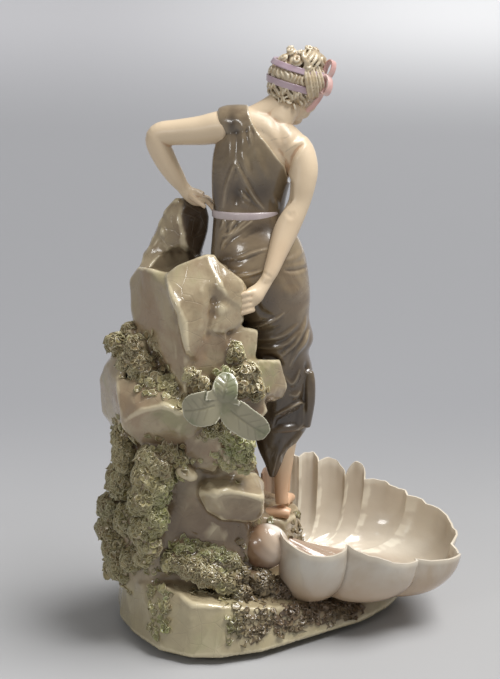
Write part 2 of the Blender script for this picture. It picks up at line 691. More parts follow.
# folds of the far side, by height and place across, in millimetres
frontFolds = [
    (1.8, 4, [(-50, 436), (-38, 414), (-22, 398), (-2, 388)]),
    (1.6, 4, [(-52, 420), (-40, 402), (-22, 386), (-4, 378)]),
    (1.5, 3.5, [(-54, 402), (-42, 390), (-26, 378), (-8, 370)]),
    (1.4, 3, [(-40, 440), (-30, 424), (-16, 410), (0, 400)]),
    (2.4, 4, [(-50, 352), (-46, 320), (-38, 285), (-28, 240), (-20, 205)]),
    (2.6, 4.5, [(-40, 354), (-34, 318), (-26, 275), (-16, 225), (-12, 185)]),
    (2.6, 4.5, [(-30, 354), (-23, 315), (-14, 270), (-5, 220), (-3, 176)]),
    (2.8, 5, [(-20, 354), (-12, 312), (-3, 268), (5, 220), (6, 172)]),
    (2.8, 5, [(-10, 354), (0, 310), (8, 265), (14, 220), (14, 172)]),
    (2.4, 4.5, [(0, 350), (11, 308), (19, 265), (23, 225), (21, 178)]),
    (-2.0, 4, [(-26, 350), (-18, 300), (-9, 250), (1, 200)]),
    (-2.0, 4, [(-6, 350), (6, 300), (12, 250), (18, 200)]),
    (1.6, 4, [(-22, 250), (-6, 242), (10, 250), (24, 268)]),
    (1.6, 4, [(-18, 222), (-2, 214), (12, 222), (26, 240)]),
]


def neckCutter():
    # everything beyond the gown's edge over the bare shoulder
    bm = bmesh.new()
    outline = [tuple(row) for row in smoothPath(gown["edge"], 4)] + [(90, 520), (-31, 520)]
    face = bm.faces.new([bm.verts.new((x, -60, z)) for x, z in outline])
    grown = bmesh.ops.extrude_face_region(bm, geom=[face])
    moved = [item for item in grown["geom"] if isinstance(item, bmesh.types.BMVert)]
    bmesh.ops.translate(bm, vec=(0, 160, 0), verts=moved)
    return keep(bm, "neckCutter")


def makeGown():
    bm = bmesh.new()
    proud = gown["proud"]
    trunk = [(x, y, z, a + proud, b + proud) for x, y, z, a, b in maiden["trunk"]]
    addLoft(bm, trunk, sides=48, level=True)
    yoke = [(x, y, z, a + proud, a * 0.95 + proud) for x, y, z, a, b in maiden["yoke"][1:]]
    addLoft(bm, [(-50, 17.5, 437, 13.5, 13)] + yoke, side=(0, 1, 0), sides=36)
    addLoft(bm, gown["skirt"], sides=56, level=True)
    addLoft(bm, gown["trail"], sides=20)
    piece = keep(bm, "drapedGown")
    fuse(piece, gown["voxel"], 4)
    places, normals, spots, seen = survey(piece)
    lift = foldLift(spots, backFolds) * seen
    press = areaPress(spots, pocket, 3.5) * seen
    lift -= 3.2 * press * press * (3 - 2 * press)
    far = np.clip(normals[:, 1] * 2.5, 0.0, 1.0)
    lift += foldLift(places[:, [0, 2]], frontFolds) * far
    rim = lineMask(spots, neckline, 1.6) * seen
    places += normals * (lift + 0.5 * rim)[:, None]
    places = dabs(places, normals, places, [((26.5, 3, 227), (3.0, 3.0, 4.0), -4.0)])
    place(piece, places)
    cut(piece, neckCutter())
    fuse(piece, gown["voxel"], 1)
    places, normals, spots, seen = survey(piece)
    crests = [lineMask(spots, path, 0.75) * min(height / 2.0, 1.0) for height, _, path in backFolds
              if height > 1.25]
    mark(piece, "crests", np.max(crests, axis=0) * seen)
    hem = lineMask(places[:, [0, 2]], gown["edge"], 1.0) * (places[:, 2] < 458)
    mark(piece, "hem", np.clip(hem, 0.0, 1.0))
    mark(piece, "pocket", areaPress(spots, pocket, 2.0) * seen)
    mark(piece, "pools", puffs(spots, gownPools) * seen)
    markRelief(piece, *gown["relief"])
    return piece


def gownGlaze():
    glaze = Glaze("bronze gown glaze", rough=0.26, coat=0.9, coatRough=0.10)
    cloud = glaze.noise(26.0, 4.0, 0.6, 0.6)
    lines = (glaze.mark("crests") * glaze.clouds(0.36, 0.60, 42.0, 2.0)).clamped()
    colour = glaze.washes((0.165, 0.115, 0.068), [
        ((0.29, 0.22, 0.135), glaze.band(cloud, 0.35, 0.68)),
        ((0.17, 0.14, 0.08), glaze.clouds(0.45, 0.7, 9.0, 3.0) * 0.4),
        ((0.050, 0.032, 0.020), glaze.hollows(0.05, 0.8) * 0.85),
        ((0.40, 0.32, 0.215), glaze.ridges(0.3, 1.0) * 0.5),
        ((0.045, 0.028, 0.016), glaze.mark("pools") * 0.85),
        ((0.045, 0.030, 0.018), glaze.under(glaze.height(), 0.19, 0.27) * 0.75),
        ((0.50, 0.41, 0.28), lines * 0.5), ((0.050, 0.035, 0.024), glaze.mark("pocket") * 0.5),
        ((0.66, 0.56, 0.39), glaze.mark("hem") * 0.8)])
    glaze.bump(glaze.noise(75.0, 3.0) * 0.6 + cloud, 0.16, 0.0012)
    return glaze.finish(colour, rough=0.20 + 0.18 * glaze.noise(34.0, 3.0))


def makeBelt():
    bm = bmesh.new()
    rings = [(-27, 16, z, 29.4 + out, 21.9 + out) for z, out in gown["beltRings"]]
    addLoft(bm, rings, sides=72, steps=3, level=True)
    return keep(bm, "belt")


def ribbonGlaze(name, first, second):
    glaze = Glaze(name, rough=0.3, coat=0.5, coatRough=0.1)
    colour = glaze.mix(first, second, glaze.clouds(0.35, 0.65, 70.0, 3.0))
    glaze.bump(glaze.noise(120.0, 2.0), 0.1, 0.0005)
    return glaze.finish(colour)


# hair: locks swept up from nape and brow, a knot of curls, and small curls at the nape

hair = {"cap": (20.2, 22.8, 20.6), "middle": (0, -5, 6.5), "voxel": 0.55, "ribbonVoxel": 0.5,
        "relief": (5, 4.2),
        # locks: how many and how thick, in millimetres
        "longLocks": (26, 1.9), "browLocks": (26, 1.5), "bandLocks": (10, 1.15), "napeLocks": (10, 1.2),
        "strands": (7, 1.55), "knotLocks": (8, 1.6), "evenness": (0.85, 1.15),
        # each ribbon runs in one plane through three spots of the photograph's frame
        "upperRibbon": [(279, 63.5), (293, 68.5), (307, 72.5)],
        "lowerRibbon": [(268, 78), (287, 85.5), (305, 90.5)],
        # large curls: spot, lift over the cap, radius and thickness in millimetres
        "curls": [((297, 61), 2.6, 4.2, 1.6), ((291, 52), 2.2, 4.0, 1.4), ((308, 67), 2.8, 3.4, 1.2),
                  ((301, 54), 3.4, 3.6, 1.3), ((284, 58), 1.6, 3.2, 1.2), ((326, 51), 4.8, 3.6, 1.2),
                  ((327, 60), 3.8, 3.4, 1.2), ((309, 49), 6.2, 3.6, 1.2), ((318, 46.5), 5.8, 3.6, 1.2)]}


def capPoint(turn, tilt, lift):
    # a point on the hair's cap: turn goes round from the front, tilt from the crown downwards
    a, b, c = hair["cap"]
    x = (a + lift) * math.sin(tilt) * math.sin(turn)
    y = (b + lift) * math.sin(tilt) * math.cos(turn)
    z = (c + lift) * math.cos(tilt)
    return Vector(hair["middle"]) + Vector((x, y, z))


def hairSeen(u, v, lift=0.0):
    # the point over the hair's cap that shows at u and v, in the head's own frame
    back = headFrame().inverted()
    eye = back @ Vector([value / mm for value in photoCamera["place"]])
    ray = back @ Vector(seenSpot(u, v, 0.0)) - eye
    middle = Vector(hair["middle"])
    sizes = [size + lift for size in hair["cap"]]
    start = Vector([(a - b) / size for a, b, size in zip(eye, middle, sizes)])
    run = Vector([part / size for part, size in zip(ray, sizes)])
    nearest = -start.dot(run) / run.dot(run)
    miss = (start + run * nearest).length_squared
    spot = start + run * (nearest - math.sqrt(max(1.0 - miss, 0.0) / run.dot(run)))
    spot.normalize()
    return middle + Vector([part * size for part, size in zip(spot, sizes)])


def addLock(bm, points, radius, sides=7, taper=0.5):
    last = len(points) - 1
    rings = []
    for index, point in enumerate(points):
        share = 1.0 - (1.0 - taper) * abs(2.0 * index / last - 1.0) ** 3
        rings.append((*point, radius * share, radius * share))
    small = bmesh.new()
    addLoft(small, rings, side=(0.3, 0.2, 1.0), sides=sides, steps=2)
    addPart(bm, small)


def addCurl(bm, centre, axis, radius, tube, turns=1.6):
    axis = Vector(axis).normalized()
    across = axis.orthogonal().normalized()
    other = axis.cross(across)
    points = []
    count = int(turns * 7)
    for step in range(count):
        angle = turns * math.tau * step / (count - 1)
        reach = radius * (1.0 - 0.75 * step / (count - 1))
        points.append(Vector(centre) + across * reach * math.cos(angle) + other * reach * math.sin(angle)
                      + axis * (0.5 * tube * step / 3))
    addLock(bm, points, tube, sides=8)


# each of these gives the points of one lock, or of a pair of them

def longLock(step, count, draw):
    # all round, from the hairline up to the knot
    turn = math.tau * step / count
    behind = 0.5 - 0.5 * math.cos(turn)
    start = 1.85 * (0.62 + 0.38 * behind) + draw.uniform(-0.05, 0.05)
    phase = draw.uniform(0, math.tau)
    sunk = 1.6 if abs(turn - math.pi) < 1.2 else 0.0
    yield [capPoint(turn + 0.09 * math.sin(phase + 11.0 * share) + 0.35 * share,
                    start + (0.35 - start) * share, 0.1 - sunk + 0.5 * math.sin(phase + 16 * share))
           for share in [bit / 8 for bit in range(9)]]


def browLock(step, count, draw):
    # waved, over the brow and the temples
    turn = 0.135 * (step - 0.5 * (count - 1))
    yield [capPoint(turn + 0.07 * math.sin(9.0 * share + step), 1.22 - 0.75 * share,
                    1.2 + 0.9 * math.sin(9.0 * share + step)) for share in [bit / 6 for bit in range(7)]]


def bandLock(step, count, draw):
    # short and waved, between the two ribbons
    u = 270.0 + 4.0 * step
    high = 60.0 + 0.33 * (u - 276) + 6.0
    low = 80.0 + 0.33 * (u - 276) - 1.5
    for part in (-0.8, 0.8):
        yield [hairSeen(u + part + 1.6 * math.sin(6.0 * share + step), high + (low - high) * share,
                        0.2 + (1.6 + 0.5 * part) * math.sin(math.pi * share))
               for share in (0, 0.25, 0.5, 0.75, 1.0)]


def napeLock(step, count, draw):
    # hanging from the lower ribbon
    u = 267.0 + 4.3 * step
    high = 84.0 + 0.35 * (u - 276)
    low = min(105.0 + 0.12 * (u - 276), 88 + 1.5 * (u - 262)) + draw.uniform(-1.5, 1.5)
    for part in (-0.9, 0.9):
        yield [hairSeen(u + part + 1.9 * math.sin(6.5 * share + 2.1 * step) + 2.5 * share,
                        high + (low - high) * share,
                        1.0 + 2.6 * share + (1.6 + 0.5 * part) * math.sin(5.0 * share + step) ** 2)
               for share in (0, 0.2, 0.4, 0.6, 0.8, 1.0)]


def strand(share):
    # smooth, gathered down the right side: u, v and lift of each point
    return [(304 + 17 * share, 69 - 3 * share, 1.6), (306 + 18.5 * share, 77, 3.2),
            (307.5 + 18.5 * share, 86, 3.8), (309.5 + 15.5 * share, 96 - share, 3.4),
            (312.5 + 9.5 * share, 104 - 2 * share, 2.0), (315 + 3.5 * share, 109 - 2 * share, 0.0)]


def addCurls(bm, draw):
    # small curls at the nape
    for step in range(11):
        turn = math.pi + 0.22 * (step - 5)
        spot = Vector((12.0 * math.sin(turn), -7.0 + 12.0 * math.cos(turn), -16.5 + draw.uniform(-2.0, 1.5)))
        addCurl(bm, spot, (draw.uniform(-1, 1), draw.uniform(-1, 1), 0.6), 2.8, 1.0)


def addKnot(bm, draw):
    # the knot on the crown, with large curls over it
    addBall(bm, hairSeen(314, 58, 0.0), (10.5, 10.0, 6.0))
    count, thick = hair["knotLocks"]
    for step in range(count):
        u = 303 + 3.2 * step
        points = [hairSeen(u + 2.2 * math.sin(7.0 * share + 1.3 * step) + 3.0 * share, 69 - 21.0 * share,
                           1.8 + 5.0 * math.sin(2.6 * share))
                  for share in (0, 0.17, 0.33, 0.5, 0.67, 0.83, 1.0)]
        addLock(bm, points, thick * draw.uniform(0.9, 1.1))
    curls = [(hairSeen(u, v, lift), radius, tube) for (u, v), lift, radius, tube in hair["curls"]]
    curls += [(capPoint(0.55 * (step - 4), 0.5, 2.5), 3.0, 1.4) for step in range(9)]
    for spot, radius, tube in curls:
        addCurl(bm, spot, spot - Vector(hair["middle"]), radius, tube)


def makeHair():
    draw = random.Random(11)
    bm = bmesh.new()
    addBall(bm, hair["middle"], [size - 2.4 for size in hair["cap"]], detail=4)
    addBall(bm, (0, -10.0, -7), (12.4, 11.2, 11.4))
    for name, route in (("longLocks", longLock), ("browLocks", browLock), ("bandLocks", bandLock),
                        ("napeLocks", napeLock)):
        count, thick = hair[name]
        for step in range(count):
            for points in route(step, count, draw):
                addLock(bm, points, thick * draw.uniform(*hair["evenness"]))
    addCurls(bm, draw)
    count, thick = hair["strands"]
    for step in range(count):
        route = [hairSeen(u, v, lift + 0.7 * (step % 2)) for u, v, lift in strand(step / (count - 1))]
        addLock(bm, route, thick, sides=9, taper=0.7)
    for side in (-1, 1):
        for step in range(6):
            spot = capPoint(side * (0.62 + 0.14 * step), 1.25 + 0.09 * step, 0.8)
            addCurl(bm, spot, (side, 0.4, draw.uniform(-0.5, 0.5)), 2.5, 0.95)
    addKnot(bm, draw)
    bmesh.ops.transform(bm, matrix=headFrame(), verts=bm.verts)
    piece = keep(bm, "waveHair")
    fuse(piece, hair["voxel"], 1)
    markRelief(piece, *hair["relief"])
    return piece


def hairGlaze():
    glaze = Glaze("blonde hair glaze", rough=0.32, coat=0.4, coatRough=0.15)
    colour = glaze.washes((0.56, 0.46, 0.31), [
        ((0.42, 0.31, 0.18), glaze.clouds(0.4, 0.65, 60.0, 3.0)),
        ((0.86, 0.80, 0.66), glaze.ridges(0.15, 0.8) * 0.8),
        ((0.13, 0.075, 0.035), glaze.hollows(0.04, 0.6) * 0.9)])
    glaze.bump(glaze.noise(260.0, 2.0), 0.2, 0.0004)
    return glaze.finish(colour)


def ribbonRing(spot, outer, inner, half):
    return [spot + outer + half, spot + outer - half, spot + inner - half, spot + inner + half]


def closeStrip(bm, rings):
    loops = [[bm.verts.new(point) for point in ring] for ring in rings]
    for loop, after in zip(loops, loops[1:] + loops[:1]):
        for side in range(4):
            bm.faces.new((loop[side], after[side], after[(side + 1) % 4], loop[(side + 1) % 4]))


def addBandLoop(bm, spots, lift, width):
    # a closed ribbon round the hair, in the plane of its three spots
    middle = Vector(hair["middle"])
    sizes = Vector([size + lift for size in hair["cap"]])
    first, second, third = [hairSeen(u, v, lift) for u, v in spots]
    across = (second - first).cross(third - first).normalized()
    across = across if across.z > 0 else -across
    centre = middle + across * (first - middle).dot(across)
    along = across.orthogonal().normalized()
    other = across.cross(along)
    loops = []
    count = 72
    for step in range(count):
        turn = math.tau * step / count
        out = along * math.cos(turn) + other * math.sin(turn)
        start = Vector([(a - b) / size for a, b, size in zip(centre, middle, sizes)])
        run = Vector([part / size for part, size in zip(out, sizes)])
        half = start.dot(run) / run.dot(run)
        reach = -half + math.sqrt(half * half + (1.0 - start.length_squared) / run.dot(run))
        spot = centre + out * reach
        lean = Vector([(a - b) / size ** 2 for a, b, size in zip(spot, middle, sizes)]).normalized()
        up = (across - lean * across.dot(lean)).normalized()
        loops.append(ribbonRing(spot, lean * 0.5, lean * -1.4, up * width / 2))
    closeStrip(bm, loops)


def makeRibbons():
    bm = bmesh.new()
    for name, lift, width in (("upperRibbon", 2.6, 5.0), ("lowerRibbon", 2.4, 5.6)):
        addBandLoop(bm, hair[name], lift, width)
    bmesh.ops.transform(bm, matrix=headFrame(), verts=bm.verts)
    piece = keep(bm, "hairRibbons")
    fuse(piece, hair["ribbonVoxel"], 2)
    return piece


bow = {"middle": (21.5, -1.0, 12.5), "thick": 0.75, "voxel": 0.45, "across": (0.30, 0.95, 0.10),
       "knot": (2.6, 3.0, 2.8),
       # the end that hangs down: its middle line from the knot, and half its width
       "end": [(1.5, 0, -1, 2.2), (3.0, 0, -9, 2.5), (1.5, 1, -17, 2.5), (-2.0, 2, -24, 2.4),
               (-6.5, 3, -29, 1.8)],
       # loops: middle, half length and half height, lean to the side, width of the ribbon
       "loops": [((2.6, 0, 7.0), 7.2, 4.2, 0.12, 5.2), ((4.4, 0, -6.2), 7.4, 4.4, -0.22, 5.6)]}


def addHoop(bm, centre, long, wide, across, width):
    # a closed loop of ribbon, set on edge to the photograph's view
    thick = bow["thick"]
    loops = []
    count = 36
    for step in range(count):
        turn = math.tau * step / count
        spot = centre + long * math.cos(turn) + wide * math.sin(turn)
        out = long * math.cos(turn) / long.length_squared + wide * math.sin(turn) / wide.length_squared
        out.normalize()
        loops.append(ribbonRing(spot, out * thick, out * -thick, across * width / 2))
    closeStrip(bm, loops)


def makeBow():
    bm = bmesh.new()
    middle = Vector(bow["middle"])
    across = Vector(bow["across"]).normalized()
    for away, long, high, lean, width in bow["loops"]:
        along = Vector((lean, 0, 1)).normalized()
        along = (along - across * along.dot(across)).normalized()
        addHoop(bm, middle + Vector(away), along * long, along.cross(across) * high, across, width)
    addBall(bm, middle + Vector((1.6, 0, 0.4)), bow["knot"])
    addLoft(bm, [(*(middle + Vector(row)), 0.8, half) for *row, half in bow["end"]],
            side=(0.78, -0.62, 0), sides=14)
    bmesh.ops.transform(bm, matrix=headFrame(), verts=bm.verts)
    piece = keep(bm, "hairBow")
    fuse(piece, bow["voxel"], 2)
    return piece


# rock: cleaved blocks under a soft glaze

# corners as photograph x and y with the depth behind the front plane in millimetres
wallBlocks = {
    "leftWing": [(138, 266, -8), (149, 268, -26), (165, 272, -36), (129, 279, 0), (130, 288, -4),
                 (131, 310, -12), (134, 322, -18), (167, 290, -50), (175, 304, -56), (184, 322, -62),
                 (186, 393, -70), (187, 402, -62), (160, 352, -50), (138, 268, 36), (175, 272, 30),
                 (134, 322, 36), (187, 402, 10)],
    "bulge": [(165, 275, -42), (176, 266, -40), (190, 264, -42), (197, 259, -38), (207, 254, -36),
              (215, 255, -34), (218, 264, -40), (168, 289, -60), (176, 304, -68), (185, 322, -70),
              (206, 330, -62), (212, 300, -58), (214, 282, -54), (186, 352, -72), (203, 366, -60),
              (176, 268, 30), (215, 258, 26), (186, 352, 10), (203, 366, 10)],
    "rightWing": [(213, 256, -34), (222, 265, -38), (230, 271, -40), (243, 280, -38), (247, 288, -34),
                  (244, 300, -38), (241, 308, -44), (228, 298, -54), (218, 284, -56), (213, 300, -54),
                  (215, 262, 24), (247, 290, 20), (241, 310, 16), (215, 312, 16)],
    "lobe": [(214, 314, -56), (226, 307, -54), (241, 308, -42), (244, 320, -40), (236, 329, -46),
             (223, 333, -58), (211, 331, -60), (208, 322, -58), (214, 316, 10), (244, 320, 10),
             (223, 333, 10)],
    "spikeLeft": [(177, 196, 32), (167, 205, 32), (160, 219, 32), (155, 233, 32), (150, 243, 30),
                  (145, 255, 28), (139, 268, 24), (180, 214, 22), (184, 243, 18), (189, 272, 16),
                  (170, 214, 25), (190, 198, 46), (150, 246, 48), (139, 270, 48), (189, 272, 48)],
    "spikeRight": [(180, 213, 22), (184, 197, 32), (203, 194, 36), (209, 217, 34), (208, 230, 32),
                   (199, 244, 28), (196, 270, 24), (184, 243, 18), (189, 272, 17), (188, 196, 50),
                   (209, 217, 50), (208, 230, 52), (196, 272, 50)],
    "rightSlope": [(203, 330, -60), (226, 331, -54), (230, 352, -52), (228, 372, -56), (206, 398, -62),
                   (190, 392, -66), (203, 366, -62), (186, 350, -66), (187, 378, -66), (226, 333, 0),
                   (228, 372, 0), (190, 392, 0)],
    "underLeaves": [(190, 396, -66), (226, 380, -60), (262, 392, -50), (268, 412, -48), (246, 432, -56),
                    (212, 428, -64), (186, 412, -66), (226, 380, 0), (266, 404, 0), (212, 428, 0)],
    "leftBoulder": [(127, 341, -10), (112, 355, -16), (105, 365, -14), (99, 380, -10), (100, 398, -8),
                    (102, 413, -8), (115, 430, -14), (116, 378, -44), (119, 405, -48), (121, 428, -44),
                    (130, 350, -40), (127, 341, 40), (106, 365, 34), (103, 412, 30), (121, 428, 40)],
    "middleBoulder": [(117, 376, -44), (116, 388, -50), (120, 410, -58), (122, 428, -56),
                      (140, 445, -58), (172, 443, -64), (183, 445, -64), (212, 425, -66),
                      (205, 410, -64), (186, 406, -72), (124, 420, -62), (143, 410, -74),
                      (168, 406, -80), (178, 411, -82), (150, 384, -58), (172, 392, -64),
                      (117, 376, 0), (140, 445, 0), (212, 425, 0), (200, 400, 0)],
    "slickRock": [(184, 446, -64), (208, 430, -72), (220, 430, -68), (223, 452, -68), (215, 473, -60),
                  (190, 467, -62), (185, 456, -64), (185, 445, 0), (223, 440, 0), (215, 473, 0)],
    "rightUpper": [(229, 327, -44), (242, 327, -40), (258, 330, -28), (256, 343, -30), (250, 355, -38),
                   (254, 365, -40), (228, 350, -54), (230, 368, -58), (240, 362, -54), (229, 327, 10),
                   (258, 330, 10), (254, 365, 10), (230, 368, 10)],
    "rightLower": [(232, 362, -54), (253, 360, -46), (280, 359, -24), (284, 378, -22), (288, 388, -22),
                   (283, 398, -24), (275, 401, -30), (257, 374, -54), (262, 396, -54), (240, 385, -60),
                   (236, 402, -60), (232, 362, 10), (280, 359, 8), (283, 398, 6), (236, 402, 10)],
    "step": [(205, 475, -44), (256, 472, -36), (264, 482, -34), (215, 494, -76), (226, 489, -74),
             (264, 498, -60), (198, 492, -66), (207, 511, -66), (223, 521, -66), (253, 523, -56),
             (263, 515, -52), (205, 475, 0), (260, 480, 0), (207, 511, 0), (260, 515, 0)],
}
massBlocks = {
    "vaseBody": [(-124, -2, 300), (-116, 20, 318), (-118, 34, 326), (-120, -26, 262), (-46, -24, 322),
                 (-34, -18, 290), (-40, 22, 318), (-30, 8, 285), (-36, 34, 240), (-40, -40, 240),
                 (-80, -50, 240), (-122, 40, 240), (-128, 0, 240), (-112, -40, 240)],
    "backMass": [(-112, 36, 340), (-108, 52, 236), (-46, 50, 236), (-60, 46, 318), (-116, 48, 300),
                 (-112, 6, 236), (-60, 6, 236), (-60, 20, 316), (-112, 14, 310)],
    "waist": [(-120, -30, 240), (-98, -46, 240), (-46, -46, 240), (-34, -20, 240), (-38, 44, 240),
              (-110, 52, 240), (-126, -24, 176), (-100, -50, 176), (-46, -52, 176), (-32, -26, 176),
              (-30, 26, 176), (-50, 60, 176), (-118, 50, 176)],
    "core": [(-130, -28, 186), (-104, -50, 186), (-50, -50, 190), (-34, -28, 180), (-30, 22, 180),
             (-60, 62, 190), (-120, 48, 186), (-138, -34, 36), (-112, -56, 36), (-44, -56, 36),
             (-16, -40, 36), (0, 30, 36), (-20, 82, 36), (-100, 86, 36), (-142, 40, 36),
             (-144, -12, 110), (-142, 20, 110), (-28, -44, 100), (-24, 40, 110)],
    "footMound": [(-34, -10, 96), (-18, -8, 85), (6, 2, 83), (16, 20, 80), (20, 44, 80),
                  (14, 62, 80), (-30, 66, 96), (-44, 20, 110), (20, 66, 34), (28, 30, 30),
                  (6, -10, 34), (-34, -20, 34), (-60, 70, 34)],
    "bed": [(-40, -72, 12), (-20, -66, 34), (30, -36, 26), (74, -14, 16), (96, 14, 12), (96, 52, 12),
            (60, 84, 14), (-30, 90, 36), (-60, -60, 44), (-60, 60, 44), (-40, -40, 44), (-60, 0, 4),
            (80, 0, 4)],
    "foot": [(-147, 14, 0), (-142, -21, 0), (-128, -52, 0), (-104, -84, 0), (-76, -98, 0),
             (-48, -98, 0), (-14, -88, 0), (39, -48, 0), (80, -27, 0), (103, 0, 0), (116, 24, 0),
             (114, 52, 0), (94, 84, 0), (50, 106, 0), (-20, 112, 0), (-90, 98, 0), (-135, 60, 0),
             (-144, 12, 38), (-139, -20, 42), (-120, -52, 46), (-98, -68, 52), (-74, -91, 46),
             (-50, -92, 44), (-16, -78, 36), (34, -42, 20), (72, -22, 12), (96, 2, 9), (106, 26, 8),
             (104, 50, 8), (86, 78, 10), (46, 98, 26), (-20, 104, 40), (-88, 92, 41), (-130, 56, 37)],
}
# lumps the moss grows on: photograph x and y, depth, and three radii in millimetres
mossLumps = [
    ((130, 334, -14), (7, 9, 9)), ((136, 350, -34), (11, 10, 13)), ((143, 368, -44), (11, 10, 12)),
    ((150, 385, -54), (9, 8, 8)), ((160, 396, -62), (8, 6, 5)), ((128, 360, -36), (8, 8, 8)),
    ((236, 352, -54), (7, 8, 8)), ((246, 372, -56), (10, 8, 9)), ((238, 386, -62), (9, 8, 8)),
    ((254, 388, -54), (8, 8, 8)), ((226, 374, -60), (8, 7, 6)), ((200, 384, -66), (7, 6, 7)),
    ((192, 376, -68), (5, 5, 7)), ((230, 430, -66), (9, 9, 10)), ((239, 445, -62), (12, 10, 12)),
    ((244, 460, -58), (10, 9, 10)), ((228, 458, -62), (8, 8, 9)), ((215, 432, -66), (7, 7, 6)),
    ((116, 344, -26), (8, 10, 9)), ((180, 398, -60), (9, 9, 8)), ((158, 384, -52), (9, 9, 10)),
    ((171, 387, -54), (9, 10, 8)), ((181, 460, -58), (9, 10, 8)), ((170, 452, -58), (10, 11, 9)),
    ((124, 438, -28), (10, 16, 15)), ((127, 456, -30), (12, 18, 16)), ((122, 478, -28), (13, 18, 18)),
    ((150, 458, -62), (12, 12, 11)), ((160, 466, -66), (10, 10, 10)), ((146, 478, -66), (12, 13, 14)),
    ((158, 492, -64), (11, 13, 13)), ((143, 500, -68), (12, 13, 14)), ((154, 518, -68), (12, 13, 14)),
    ((142, 528, -68), (11, 12, 13)), ((150, 545, -68), (10, 10, 12)), ((143, 556, -66), (7, 8, 9)),
    ((166, 478, -62), (9, 9, 9)), ((112, 506, -14), (12, 16, 13)), ((113, 528, -12), (14, 18, 14)),
    ((118, 548, -20), (14, 18, 14)), ((124, 566, -26), (13, 16, 11)), ((116, 566, -10), (11, 16, 10)),
    ((128, 520, -40), (11, 12, 14)), ((132, 558, -48), (10, 10, 10)), ((176, 560, -58), (12, 12, 9)),
    ((192, 566, -64), (13, 13, 10)), ((208, 574, -66), (13, 13, 9)), ((226, 582, -66), (12, 12, 9)),
    ((240, 592, -66), (9, 10, 6)), ((186, 548, -54), (12, 10, 9)), ((206, 556, -56), (12, 11, 9)),
    ((226, 562, -56), (12, 11, 9)), ((238, 574, -56), (10, 10, 9)), ((256, 582, -46), (15, 14, 12)),
    ((276, 590, -40), (16, 14, 11)), ((300, 602, -32), (18, 14, 9)), ((332, 610, -22), (20, 14, 7)),
]


def seenSpot(u, v, depth):
    # the point, in millimetres, that shows at u and v and lies at this y
    pitch = math.radians(photoCamera["pitch"])
    across = (u - photoCamera["middle"][0]) / photoCamera["focal"]
    up = (photoCamera["middle"][1] - v) / photoCamera["focal"]
    eye = [value / mm for value in photoCamera["place"]]
    run = (depth - eye[1]) / (math.cos(pitch) + up * math.sin(pitch))
    return (eye[0] + across * run, depth, eye[2] + run * (up * math.cos(pitch) - math.sin(pitch)))


vase = {"x": -87, "y": -4, "lip": 334, "depth": 100, "mouth": (26, 17), "floor": (17, 13), "undercut": 7}
# balls that fill the clefts between blocks: spot seen, radii, turn about the view
fillers = [((187, 473, -68), (10.5, 9, 6.5), 0.5), ((219, 308, -45), (11, 12, 12), 0.0),
           ((127, 375, -18), (11, 14, 12), 0.0)]
# voxels before and after the vase is hollowed, and the share of faces kept
rockMesh = {"coarse": 1.6, "fine": 1.5, "kept": 0.6, "relief": (7, 2.4)}
rockWork = [
    (0.9, 5.0, [(163, 276), (167, 290), (176, 305), (184, 322), (186, 355), (186, 392)]),
    (1.0, 4.5, [(207, 257), (213, 270), (220, 284), (228, 296)]),
    (-1.6, 6.0, [(206, 284), (212, 300), (210, 318), (206, 340)]),
    (0.9, 4.5, [(124, 421), (142, 411), (160, 406), (180, 411)]),
    (0.8, 4.5, [(118, 380), (119, 400), (121, 420)]), (0.8, 4.0, [(178, 214), (182, 235), (187, 260)]),
    (0.9, 4.0, [(170, 262), (164, 240), (158, 224)]), (-1.0, 5.0, [(196, 205), (198, 225), (192, 250)]),
    (0.9, 4.5, [(206, 477), (216, 492), (240, 494), (264, 499)]),
    (0.8, 5.0, [(172, 576), (186, 600), (204, 607), (226, 603), (250, 603)]),
]


def vaseCutter():
    # the hollow of the vase, wider behind its lip
    bm = bmesh.new()
    x, y, lip, under = vase["x"], vase["y"], vase["lip"], vase["undercut"]
    wide, deep = vase["mouth"]
    addLoft(bm, [(x, y, lip - vase["depth"], *vase["floor"]), (x, y + under, lip - 22, wide, deep + under),
                 (x, y, lip + 4, wide, deep), (x, y - 2, lip + 22, wide, deep)],
            sides=24, steps=3, level=True)
    return keep(bm, "vaseCutter")


def makeRock():
    bm = bmesh.new()
    for corners in massBlocks.values():
        addBlock(bm, corners)
    for corners in wallBlocks.values():
        addBlock(bm, [seenSpot(*corner) for corner in corners])
    for spot, radii in mossLumps:
        addBall(bm, seenSpot(*spot), radii, detail=2)
    for spot, radii, turn in fillers:
        addBall(bm, seenSpot(*spot), radii, Matrix.Rotation(turn, 4, "Y"))
    piece = keep(bm, "rockVase")
    fuse(piece, rockMesh["coarse"], 1)
    cut(piece, vaseCutter())
    fuse(piece, rockMesh["fine"], 3)
    thinOut(piece, rockMesh["kept"])
    places, normals, spots, seen = survey(piece)
    aboveFoot = np.clip(places[:, 2] / 3.0, 0.0, 1.0)
    places += normals * ((foldLift(spots, rockWork) * seen + rockGrain(places)) * aboveFoot)[:, None]
    places[:, 2] = np.where(places[:, 2] < 1.2, 0.0, places[:, 2])
    place(piece, places)
    markRelief(piece, *rockMesh["relief"])
    mark(piece, "damp", puffs(places, rockDamp))
    inner = (seen < 0.01) | (places[:, 1] > -16)
    mark(piece, "mouth", vaseShade(places) * inner)
    mark(piece, "burnt", areaPress(spots, spikeShade, 3.0) * (places[:, 1] > 8) * (places[:, 2] > 318))
    return piece


